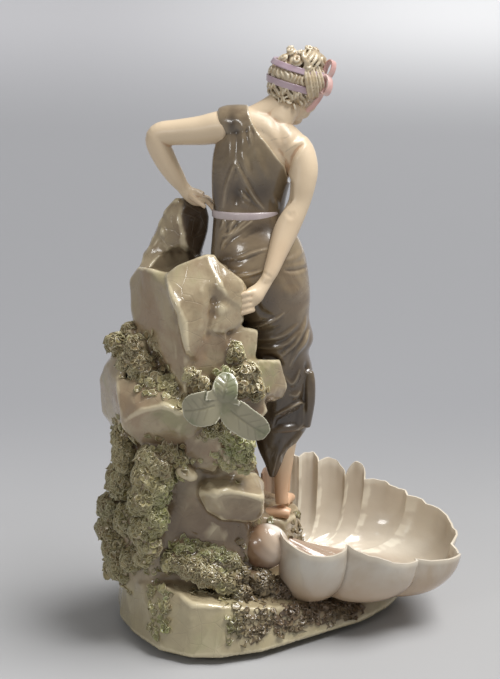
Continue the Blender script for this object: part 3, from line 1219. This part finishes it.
# where the pink-brown wash gathers, under the overhangs: middle and radii in millimetres
rockDamp = [((-50, -60, 106), (26, 30, 12)), ((-60, -60, 96), (34, 30, 16)), ((-14, -40, 84), (20, 40, 20)),
            ((-92, -60, 176), (30, 30, 8)), ((-40, -50, 200), (22, 26, 14)), ((-46, -45, 262), (12, 22, 12)),
            ((-30, -40, 60), (26, 34, 22)), ((0, -40, 44), (26, 34, 20)), ((20, -44, 20), (44, 24, 14)),
            ((64, -30, 14), (40, 26, 12)), ((-75, 20, 345), (18, 14, 22)), ((40, -40, 22), (60, 30, 14)),
            ((-87, 0, 300), (30, 24, 26))]
# the right facet of the spike, fired dark brown
spikeShade = [(182, 196), (206, 190), (212, 217), (210, 240), (198, 272), (188, 272), (185, 243), (180, 214)]


def rockGrain(places):
    # slow swells in the clay and finer creases, from a few waves that don't repeat
    x, y, z = places.T
    swell = np.sin(x / 9.1 + 0.7 * np.sin(z / 13.0)) * np.sin(z / 11.3 + 0.6 * np.sin(y / 9.0))
    swell += 0.6 * np.sin(y / 6.2 + 1.3 + 0.8 * np.sin(z / 8.0)) * np.sin(x / 7.1 + z / 15.0)
    crease = np.sin(x / 4.3 + 2.2 * np.sin(z / 9.7) + 1.4 * np.sin(y / 5.9))
    crease *= np.sin(z / 5.1 + 1.8 * np.sin(x / 8.3))
    knobs = np.sin(x / 2.3 + 3.0 * np.sin(y / 6.0)) * np.sin(z / 2.6 + 2.0 * np.sin(x / 5.0))
    left = np.clip((-96 - x) / 6.0, 0.0, 1.0) * (z > 330)      # the chipped edge of the spike
    return 0.55 * swell + 0.30 * crease * np.abs(crease) + (0.08 + 0.75 * left) * knobs


def vaseShade(places):
    # the mouth of the vase, which the glaze leaves dark below the foot of the spike
    x, y, z = places.T
    gap = ((x - vase["x"]) / 31.0) ** 2 + ((y - vase["y"] - 2) / 22.0) ** 2
    return (gap < 1.0) * np.clip((321.0 - z) / 4.0, 0.0, 1.0) * (z > 225)


def rockGlaze():
    glaze = Glaze("rock glaze", rough=0.22, coat=0.6, coatRough=0.08)
    damp = glaze.mark("damp")
    fine = glaze.band(glaze.cells(60.0), 0.0, 0.03)
    green = glaze.clouds(0.52, 0.64, 9.0, 5.0, 0.62, 0.8)
    pink = glaze.clouds(0.52, 0.66, 11.0, 5.0, 0.62, 0.6, (1.3, 0.8, 1.0))
    stain = glaze.clouds(0.60, 0.72, 24.0, 6.0, 0.68, 1.2)
    colour = glaze.washes((0.235, 0.17, 0.10), [
        ((0.39, 0.315, 0.20), glaze.clouds(0.38, 0.60, 13.0, 5.0, 0.62)), ((0.25, 0.255, 0.11), green * 0.55),
        ((0.29, 0.18, 0.105), pink * 0.55), ((0.17, 0.115, 0.06), stain * 0.45),
        ((0.15, 0.092, 0.055), damp * 0.8), ((0.15, 0.10, 0.055), glaze.hollows(0.12, 0.9) * 0.75),
        ((0.80, 0.70, 0.48), glaze.ridges(0.22, 0.9) * 0.55),
        ((0.035, 0.022, 0.014), glaze.mark("mouth") * 0.95),
        ((0.56, 0.505, 0.31), glaze.under(glaze.height(), 0.035, 0.055) * (1.0 - damp) * 0.45),
        ((0.050, 0.031, 0.018), glaze.mark("burnt") * 0.9), ((0.30, 0.25, 0.17), (1.0 - fine) * 0.12)])
    glaze.bump(glaze.noise(38.0, 5.0, 0.6) + 0.15 * fine, 0.42, 0.0022)
    return glaze.finish(colour, rough=0.14 + 0.20 * glaze.noise(22.0, 3.0))


# the shell bowl

shell = {
    "hinge": (0, 8, 68), "middle": (70.0, 12.0, 95.0), "floor": 16, "wall": 4.2, "edge": 0.7,
    "steps": 14, "rings": 44,      # per lobe, and from the hinge to the rim
    "rimShare": 0.45, "thinFrom": 0.6,      # the wall thins from here on to this share at the rim
    # where two lobes meet: angle from +X, radius and height of the rim, lean of the wall below
    "cusps": [(-88, 50, 92, 1.7), (-47, 86, 85, 1.15), (-22.5, 130, 66, 1.0),
              (-3, 157, 62, 1.0), (28, 141, 80, 0.95), (44, 118, 90, 0.9), (51.6, 107, 92, 0.9),
              (63, 90, 110, 0.9), (74, 79, 116, 0.9), (88, 67, 114, 0.9), (104, 58, 106, 0.9)],
    # how far each lobe's middle stands out and up from the line between its cusps
    "lobes": [(14, -9), (12, -5), (17, -3), (13, 1), (7, 2), (5, 17), (6, 8), (5, 4), (5, 3), (4, 2)],
}


def shellPoint(t, column, wave):
    angle, radius, height, lean, out, up, flute = column
    hingeX, hingeY, hingeZ = shell["hinge"]
    opened = math.sin(0.5 * math.pi * t) ** lean
    reach = radius * opened + flute * out * t ** 1.4 + wave
    rise = shell["floor"] + (height + up * flute - shell["floor"]) * t ** 3.2
    rise += (hingeZ - shell["floor"]) * (1 - t) ** 2.6 - 0.35 * flute * out * math.sin(math.pi * t)
    turn = math.radians(angle)
    return hingeX + reach * math.cos(turn), hingeY + reach * math.sin(turn), rise + 0.6 * wave


def shellColumns():
    # the wall's lines from hinge to rim, a few to each lobe
    columns = []
    for start, end, (out, up) in zip(shell["cusps"], shell["cusps"][1:], shell["lobes"]):
        for step in range(shell["steps"]):
            share = step / shell["steps"]
            line = [low + (high - low) * share for low, high in zip(start, end)]
            columns.append((*line, out, up, math.sin(math.pi * share) ** 0.7))
    columns.append((*shell["cusps"][-1], 0.0, 0.0, 0.0))
    return columns


def shellWave(angle, t):
    # slow waves in the wall, and a ragged rim
    wave = 0.5 * math.sin(angle * 0.9 + 5 * t) * t + 0.35 * math.sin(angle * 0.31 + 19 * t)
    return wave + (1.0 * t ** 8 * math.sin(angle * 0.47 + 1.0) + 0.5 * t ** 12 * math.sin(angle * 1.7))


def markShell(piece, count):
    # ribs where lobes meet, how far up the wall a point lies, and how thick the wall is there
    ribs = np.zeros(len(piece.data.vertices))
    reach = np.zeros(len(ribs))
    for spot in range(shell["rings"] * count):
        ring, index = divmod(spot, count)
        shake = 0.03 * math.sin(ring * 0.9 + index) + 0.02 * math.sin(ring * 2.3)
        gap = (index + 0.5) % shell["steps"]
        gap = min(gap, shell["steps"] - gap)
        ribs[spot] = math.exp(-((gap / shell["steps"] + shake) / 0.07) ** 2)
        reach[spot] = (ring + 1) / shell["rings"]
    mark(piece, "ribs", ribs)
    mark(piece, "reach", reach)
    rims = piece.vertex_groups.new(name="rims")
    for index, share in enumerate(reach):
        outer = max(0.0, share - shell["thinFrom"]) / (1.0 - shell["thinFrom"])
        rims.add([index], 1.0 - (1.0 - shell["rimShare"]) * outer, "REPLACE")


def makeShell():
    columns = shellColumns()
    bm = bmesh.new()
    rows = []
    for ring in range(1, shell["rings"] + 1):
        t = ring / shell["rings"]
        rows.append([bm.verts.new(shellPoint(t, column, shellWave(column[0], t))) for column in columns])
    pole = bm.verts.new(shell["hinge"])
    for left, right in zip(rows[0], rows[0][1:]):
        bm.faces.new((pole, left, right))
    for lower, upper in zip(rows, rows[1:]):
        for index in range(len(columns) - 1):
            bm.faces.new((lower[index], upper[index], upper[index + 1], lower[index + 1]))
    piece = keep(bm, "shellBowl")
    markShell(piece, len(columns))
    wall = piece.modifiers.new("wall", "SOLIDIFY")
    wall.vertex_group = "rims"
    wall.thickness = shell["wall"] * mm
    wall.offset = 0.0
    edge = piece.modifiers.new("edge", "BEVEL")
    edge.width = shell["edge"] * mm
    edge.segments = 3
    edge.limit_method = "ANGLE"
    edge.angle_limit = math.radians(50)
    applyModifiers(piece)
    # inner faces look back to the middle of the bowl
    places, normals = measure(piece)
    inward = np.array(shell["middle"]) - places
    inward /= np.linalg.norm(inward, axis=1)[:, None]
    mark(piece, "inner", np.clip((inward * normals).sum(axis=1) * 4 + 0.5, 0.0, 1.0))
    return piece


def shellGlaze():
    glaze = Glaze("pearl shell glaze", rough=0.2, coat=0.7, coatRough=0.06)
    inner, reach = glaze.mark("inner"), glaze.mark("reach")
    cloud = glaze.noise(16.0, 4.0, 0.6, 0.5)
    outside = glaze.washes((0.50, 0.43, 0.34), [
        ((0.60, 0.56, 0.49), glaze.band(cloud, 0.4, 0.62)),
        ((0.46, 0.315, 0.19), glaze.under(glaze.height() + cloud * 0.02, 0.038, 0.085) * 0.85)])
    inside = glaze.washes((0.31, 0.235, 0.175), [
        ((0.43, 0.355, 0.275), glaze.band(cloud, 0.36, 0.62)),
        ((0.26, 0.18, 0.115), glaze.clouds(0.46, 0.62, 7.0, 3.0) * 0.6),
        ((0.62, 0.55, 0.43), glaze.band(glaze.height("X"), 0.085, 0.14) * 0.6),
        ((0.42, 0.285, 0.205), glaze.under(reach, 0.25, 0.6) * 0.6),
        ((0.80, 0.73, 0.60), glaze.band(glaze.height("Y"), 0.035, 0.060) * 0.6)])
    ribs = glaze.band(glaze.mark("ribs"), 0.35, 0.95) * inner * glaze.band(reach, 0.2, 0.45)
    colour = glaze.washes(outside, [
        (inside, inner), ((0.86, 0.80, 0.66), ribs * 0.75),
        ((0.74, 0.66, 0.53), glaze.band(reach, 0.965, 0.995) * 0.6),
        ((0.24, 0.125, 0.07), glaze.under(glaze.height("X"), -0.012, 0.012) * 0.85)])
    growth = glaze.noise(8.0, 3.0, 0.5, 0.2) * 0.4 + reach * 26.0
    lines = glaze.node("ShaderNodeMath", {"operation": "SINE"}, i0=growth * 3.0)
    glaze.bump(glaze.noise(45.0, 4.0) * 0.8 + lines * 0.06, 0.35, 0.0018)
    return glaze.finish(colour, rough=0.10 + 0.18 * cloud)


knob = {"spot": (264, 547, -33), "radii": (21.5, 17, 21), "ringsRound": (292, 524)}


def makeKnob():
    # the rounded hinge of the shell, which the maiden's foot stands on
    bm = bmesh.new()
    addBall(bm, seenSpot(*knob["spot"]), knob["radii"], detail=5)
    piece = keep(bm, "shellHinge")
    places, normals, spots, _ = survey(piece)
    rings = np.hypot(*(spots - np.array(knob["ringsRound"])).T)
    places += normals * (0.15 * np.sin(rings / 1.7) + 0.7 * np.sin(rings / 9.0))[:, None]
    place(piece, places)
    mark(piece, "rim", lineMask(spots, [(270, 524), (278, 530), (288, 532)], 4.0))
    return piece


def knobGlaze():
    glaze = Glaze("hinge glaze", rough=0.2, coat=0.7, coatRough=0.06)
    colour = glaze.washes((0.17, 0.088, 0.045), [
        ((0.25, 0.155, 0.09), glaze.clouds(0.4, 0.62, 24.0, 4.0)),
        ((0.66, 0.54, 0.42), glaze.band(glaze.height("X"), -0.022, 0.0) * 0.75),
        ((0.86, 0.82, 0.74), glaze.mark("rim") * 0.8),
        ((0.17, 0.09, 0.055), glaze.under(glaze.height(), 0.052, 0.072) * 0.8)])
    glaze.bump(glaze.noise(50.0, 4.0), 0.3, 0.0014)
    return glaze.finish(colour, rough=0.14 + 0.15 * glaze.noise(30.0, 2.0))


# leaves and moss

leafSet = {"root": (-48, -78, 219), "thick": 2.6, "voxel": 0.7, "relief": (8, 2.5),
           "arch": 6.0, "knot": (5, 6, 5), "curl": 2.4,
           "ribs": (0.35, 0.55, 0.72), "vein": (0.9, 1.0), "rib": (0.6, 0.6),      # half width and depth
           "tips": [((-11, -76, 191), 28), ((-80, -82, 214), 32), ((-43, -72, 243), 23)]}
moss = {
    # scraps: how many kinds, sides, size and depth in millimetres, and how many per area of a lump
    "kinds": 9, "sides": 7, "size": (2.1, 3.3), "cupped": (0.6, 1.4), "perArea": 0.16,
    "lean": 0.45, "lift": (0.3, 1.6), "scale": (0.8, 1.35),
    # moss away from the lumps: side, low and high corner across and up, how many scraps
    "patches": [("front", (-44, 10), (84, 42), 330), ("front", (-112, 10), (-92, 52), 50),
                ("front", (-128, 58), (-60, 72), 60), ("left", (-40, 60), (40, 176), 220),
                ("back", (-120, 60), (-70, 180), 200), ("back", (-60, 40), (20, 80), 160),
                ("right", (-50, 40), (30, 90), 70)],
}


def addLeaf(bm, tip, width):
    root = Vector(leafSet["root"])
    run = Vector(tip) - root
    outward = Vector((0, -1, 0))
    across = run.cross(outward).normalized()
    rows = []
    for step in range(15):
        t = step / 14
        spot = root + run * t + outward * leafSet["arch"] * math.sin(math.pi * t) ** 1.2
        half = max(0.5 * width * math.sin(math.pi * (0.07 + 0.89 * t)) ** 0.5
                   * (1.0 + 0.05 * math.sin(9 * t)), 1.2)
        rows.append((*spot, half, leafSet["thick"] / 2))
    addLoft(bm, rows, side=across, sides=26, steps=2)


def makeLeaves():
    bm = bmesh.new()
    for tip, width in leafSet["tips"]:
        addLeaf(bm, tip, width)
    addBall(bm, (-48, -74, 218), leafSet["knot"])
    piece = keep(bm, "leaves")
    fuse(piece, leafSet["voxel"], 2)
    places, normals = measure(piece)
    veins = np.zeros(len(places))
    lift = np.zeros(len(places))
    root = np.array(leafSet["root"])[[0, 2]]
    flat = places[:, [0, 2]]
    for point, width in leafSet["tips"]:
        end = np.array(point)[[0, 2]]
        run = end - root
        side = np.array([-run[1], run[0]]) / np.linalg.norm(run)
        lines = [([root + run * share for share in (0.2, 0.6, 0.93)], leafSet["vein"])]
        for share in leafSet["ribs"]:
            for sign in (-1, 1):
                tip = root + run * (share + 0.16) + side * sign * width * 0.3
                lines.append(([root + run * share, tip], leafSet["rib"]))
        for path, (half, deep) in lines:
            veins = np.maximum(veins, np.exp(-(pathGap(flat, path) / half) ** 2) * deep)
        away = np.abs((flat - root) @ side)
        along = ((flat - root) @ run) / (run @ run)
        near = (along > 0.1) & (along < 1.1) & (away < width * 0.62)
        lift += np.where(near, leafSet["curl"] * (away / (0.5 * width)) ** 2, 0.0)
    seen = np.clip(-normals[:, 1] * 2, 0, 1)
    places[:, 1] -= lift * 0.8
    places += normals * (-0.6 * veins * seen)[:, None]
    place(piece, places)
    mark(piece, "veins", veins * seen)
    markRelief(piece, *leafSet["relief"])
    return piece


def leafGlaze():
    glaze = Glaze("leaf glaze", rough=0.3, coat=0.5, coatRough=0.12)
    colour = glaze.washes((0.30, 0.275, 0.185), [
        ((0.19, 0.20, 0.11), glaze.clouds(0.44, 0.60, 30.0, 4.0)),
        ((0.70, 0.67, 0.52), glaze.ridges(0.15, 0.7) * 0.8),
        ((0.13, 0.115, 0.06), glaze.mark("veins") * 0.35),
        ((0.16, 0.19, 0.10), glaze.hollows(0.2, 0.9) * 0.6)])
    glaze.bump(glaze.noise(90.0, 3.0), 0.2, 0.0008)
    return glaze.finish(colour)


def mossBits():
    # small cupped scales of clay, thin at the rim, which are copied many times
    draw = random.Random(5)
    bits = []
    sides = moss["sides"]
    for _ in range(moss["kinds"]):
        bm = bmesh.new()
        size = draw.uniform(*moss["size"])
        deep = draw.uniform(*moss["cupped"])
        rims = []
        for reach, level in ((0.55, -0.8), (1.0, 0.0), (0.62, -1.3)):
            ring = []
            for step in range(sides):
                turn = math.tau * step / sides
                far = size * reach * (1.0 + 0.22 * math.sin(3 * turn + size * 9))
                rise = deep * level + (reach == 1.0) * draw.uniform(-0.5, 0.6)
                ring.append(bm.verts.new((1.25 * far * math.cos(turn), far * math.sin(turn), rise)))
            rims.append(ring)
        top = bm.verts.new((0, 0, -deep))
        bottom = bm.verts.new((0, 0, -deep - 1.0))
        for step in range(sides):
            after = (step + 1) % sides
            inner, rim, outer = [(ring[step], ring[after]) for ring in rims]
            bm.faces.new((top, inner[0], inner[1]))
            bm.faces.new((inner[0], rim[0], rim[1], inner[1]))
            bm.faces.new((rim[0], outer[0], outer[1], rim[1]))
            bm.faces.new((outer[0], bottom, outer[1]))
        bmesh.ops.recalc_face_normals(bm, faces=bm.faces)
        bits.append(toMesh(bm, "mossBit"))
    return bits


def mossSpots(tree, draw):
    # places on the rock where a scrap of moss sits, with the way it faces
    spots = []
    for spot, radii in mossLumps:
        middle = Vector(seenSpot(*spot))
        a, b, c = radii
        count = int(moss["perArea"] * (a * b + a * c + b * c))
        for _ in range(count):
            away = Vector([draw.gauss(0, 1) for _ in range(3)]).normalized()
            away.y = -abs(away.y)
            origin = middle + Vector([side * reach * 2.2 for side, reach in zip(away, radii)])
            spots.append(tree.ray_cast(origin, (middle - origin).normalized(), 40.0)[:2])
    for side, low, high, count in moss["patches"]:
        for _ in range(count):
            across = draw.uniform(low[0], high[0])
            up = draw.uniform(low[1], high[1])
            far = 300
            starts = {"front": ((across, -far, up), (0, 1, 0)), "back": ((across, far, up), (0, -1, 0)),
                      "left": ((-far, across, up), (1, 0, 0)), "right": ((far, across, up), (-1, 0, 0))}
            origin, ray = starts[side]
            spots.append(tree.ray_cast(Vector(origin), Vector(ray))[:2])
    return [(hit, normal) for hit, normal in spots if hit is not None and hit.z > 5]


def makeMoss(rock):
    draw = random.Random(21)
    sheet = bmesh.new()
    sheet.from_mesh(rock.data)
    bmesh.ops.scale(sheet, vec=(1 / mm, 1 / mm, 1 / mm), verts=sheet.verts)
    tree = BVHTree.FromBMesh(sheet)
    sheet.free()
    bits = mossBits()
    bm = bmesh.new()
    for hit, normal in mossSpots(tree, draw):
        turn = (normal + Vector((0, -0.1, 0.25))).to_track_quat("Z", "Y").to_matrix().to_4x4()
        lean = moss["lean"]
        tilt = Matrix.Rotation(draw.uniform(-lean, lean), 4, "Y")
        tilt = tilt @ Matrix.Rotation(draw.uniform(-lean, lean), 4, "X")
        home = Matrix.Translation(hit + normal * draw.uniform(*moss["lift"]))
        scrap = draw.choice(bits).copy()
        home = home @ turn @ Matrix.Rotation(draw.uniform(0, math.tau), 4, "Z") @ tilt
        scrap.transform(home @ Matrix.Scale(draw.uniform(*moss["scale"]), 4))
        bm.from_mesh(scrap)
        bpy.data.meshes.remove(scrap)
    piece = keep(bm, "clayMoss")
    places = measure(piece)[0]
    # of each scrap's points, three rings and two poles, the second ring is its rim
    sides = moss["sides"]
    rim = np.zeros(len(places)).reshape(-1, 3 * sides + 2)
    rim[:, sides:2 * sides] = 1.0
    mark(piece, "rim", rim.ravel())
    depth = np.array([tree.find_nearest(Vector(row))[3] for row in places])
    mark(piece, "tips", np.clip(depth / 4.0, 0.0, 1.0))
    for bit in bits:
        bpy.data.meshes.remove(bit)
    return piece


def mossGlaze():
    glaze = Glaze("moss glaze", rough=0.28, coat=0.4, coatRough=0.12)
    patch = glaze.noise(16.0, 4.0, 0.6)
    outer = glaze.under(glaze.height("X") + 0.04 * patch, -0.100, -0.080)
    above = glaze.band(glaze.height(), 0.17, 0.20) * glaze.clouds(0.44, 0.54, 26.0, 3.0)
    brown = glaze.clouds(0.50, 0.58, 21.0, 3.0, 0.6, 0.5).most(outer * 0.7).most(above)
    bed = glaze.band(glaze.height("X") + 0.02 * patch, -0.050, -0.015)
    bed = bed * glaze.under(glaze.height(), 0.06, 0.12)
    colour = glaze.washes((0.30, 0.31, 0.12), [
        ((0.50, 0.44, 0.22), glaze.band(patch, 0.42, 0.60)),
        ((0.145, 0.205, 0.075), glaze.clouds(0.56, 0.68, 30.0, 3.0) * 0.7),
        ((0.215, 0.135, 0.07), brown * 0.7),
        ((0.80, 0.74, 0.48), glaze.band(glaze.mark("rim"), 0.5, 1.0) * (0.75 - 0.5 * bed)),
        ((0.10, 0.065, 0.035), glaze.under(glaze.mark("tips"), 0.0, 0.3) * 0.45),
        ((0.15, 0.098, 0.062), bed * 0.85)])
    return glaze.finish(colour, rough=0.16 + 0.2 * patch)


# build every piece

print("figure")
settle(makeSkin(), skinGlaze())
settle(makeGown(), gownGlaze())
settle(makeBelt(), ribbonGlaze("lilac belt glaze", (0.50, 0.42, 0.43), (0.58, 0.50, 0.50)))
settle(makeHair(), hairGlaze())
settle(makeRibbons(), ribbonGlaze("lilac ribbon glaze", (0.46, 0.33, 0.39), (0.52, 0.40, 0.45)))
settle(makeBow(), ribbonGlaze("pink bow glaze", (0.62, 0.35, 0.32), (0.74, 0.54, 0.50)))
print("rock and shell")
rock = makeRock()
settle(rock, rockGlaze())
settle(makeShell(), shellGlaze())
settle(makeKnob(), knobGlaze())
settle(makeLeaves(), leafGlaze())
settle(makeMoss(rock), mossGlaze())


# studio

studio = {"floor": (0.40, 0.40, 0.405), "right": (0.36, 0.355, 0.35), "far": (0.29, 0.292, 0.306),
          "wall": (0.45, 0.45, 0.47), "wallRight": (0.74, 0.745, 0.76),
          "world": (1.0, 0.985, 0.96), "worldLevel": 0.31, "keyFrom": (0.45, 0.0, 1.0), "keyLevel": 3.3,
          "keySpread": 34, "lampsMeet": (0, 0, 0.22),
          "lamps": [("windowLamp", (-0.75, -1.15, 0.85), 0.28, 2.4),
                    ("topLamp", (0.45, -0.35, 1.25), 0.30, 4.0)],
          # the paper's path from the table up the wall, in metres, and half its width
          "paper": [(-3.0, 0.0), (2.5, 0.0), (4.0, 0.12), (5.2, 0.6), (6.0, 1.5), (6.4, 4.0)],
          "paperHalf": 5.0}


def aim(holder, way):
    holder.rotation_euler = way.to_track_quat("-Z", "Y").to_euler()


def makeStudio():
    bm = bmesh.new()
    half = studio["paperHalf"]
    rail = [bm.verts.new((-half, y, z)) for y, z in smoothPath(studio["paper"], 8)]
    edges = [bm.edges.new(pair) for pair in zip(rail, rail[1:])]
    grown = bmesh.ops.extrude_edge_only(bm, edges=edges)
    moved = [item for item in grown["geom"] if isinstance(item, bmesh.types.BMVert)]
    bmesh.ops.translate(bm, vec=(2 * half, 0, 0), verts=moved)
    bmesh.ops.recalc_face_normals(bm, faces=bm.faces)
    sweep = toScene("sweep", toMesh(bm, "sweep"))
    sweep.data.shade_smooth()
    paper = Glaze("studio paper", rough=0.6)
    ground = paper.mix(studio["floor"], studio["right"], paper.band(paper.height("X"), -0.6, 1.1))
    ground = paper.mix(ground, studio["far"], paper.band(paper.height("Y"), -0.05, 0.7))
    wall = paper.mix(studio["wall"], studio["wallRight"], paper.band(paper.height("X"), -0.8, 1.0))
    sweep.data.materials.append(paper.finish(paper.mix(ground, wall, paper.band(paper.height(), 0.0, 0.45))))
    world = bpy.data.worlds.new("studio light")
    world.use_nodes = True
    sky = world.node_tree.nodes["Background"]
    sky.inputs["Color"].default_value = (*studio["world"], 1.0)
    sky.inputs["Strength"].default_value = studio["worldLevel"]
    bpy.context.scene.world = world
    sun = bpy.data.lights.new("keyLamp", "SUN")
    sun.energy = studio["keyLevel"]
    sun.angle = math.radians(studio["keySpread"])
    aim(toScene("keyLamp", sun), -Vector(studio["keyFrom"]))
    for name, spot, size, power in studio["lamps"]:
        lamp = bpy.data.lights.new(name, "AREA")
        lamp.size = size
        lamp.energy = power
        holder = toScene(name, lamp)
        holder.location = spot
        aim(holder, Vector(studio["lampsMeet"]) - Vector(spot))


def makeCamera():
    camera = bpy.data.cameras.new("photoView")
    camera.sensor_fit = "VERTICAL"
    camera.sensor_height = photoCamera["sensor"]
    camera.lens = photoCamera["sensor"] * photoCamera["focal"] / photoCamera["rows"]
    holder = toScene("photoView", camera)
    holder.location = photoCamera["place"]
    holder.rotation_euler = (math.radians(90.0 - photoCamera["pitch"]), 0, 0)
    bpy.context.scene.camera = holder


makeStudio()
makeCamera()
bpy.context.scene.view_settings.view_transform = "Standard"
